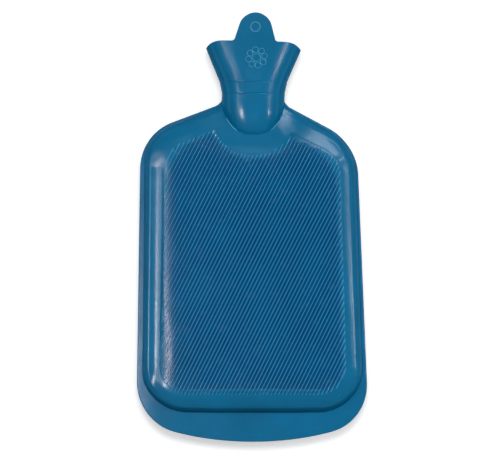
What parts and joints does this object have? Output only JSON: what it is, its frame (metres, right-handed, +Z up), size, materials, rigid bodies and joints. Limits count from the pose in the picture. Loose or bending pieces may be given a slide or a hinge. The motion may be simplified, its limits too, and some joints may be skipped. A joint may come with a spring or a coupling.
{
  "type": "hot water bottle",
  "caption": "Flat rubber hot water bottle with a ribbed front, filling funnel, hanging tab and screw stopper.",
  "frame": {"origin": "middle of the bottle's outline in plan, on the surface that the bottle lies on", "axes": "+X across the bottle, +Y along it from the apron to the hanging tab, +Z up through its thickness to the ribbed front"},
  "size_m": [0.1992, 0.371, 0.0456],
  "materials": {
    "blue_rubber": "satin",
    "socket_brass": "satin",
    "washer_rubber": "matt",
    "stopper_plastic": "satin"
  },
  "bodies": {
    "bottle": {"bottle_body": "blue_rubber", "neck_insert": "socket_brass"},
    "washer_ring": {"washer": "washer_rubber"},
    "screw_stopper": {"stopper": "stopper_plastic"}
  },
  "joints": [
    {"name": "stopper_lift", "type": "slide", "parent": "bottle", "child": "washer_ring", "axis": [0, 1, 0], "range_m": [0, 0.011]},
    {"name": "stopper_turn", "type": "hinge", "parent": "washer_ring", "child": "screw_stopper", "pos_m": [0, 0.116, 0.0225], "axis": [0, 1, 0], "range_deg": [0, 990]}
  ],
  "couplings": [
    {"joint": "stopper_lift", "follows": "stopper_turn", "m_per_rad": 0.00063662}
  ]
}
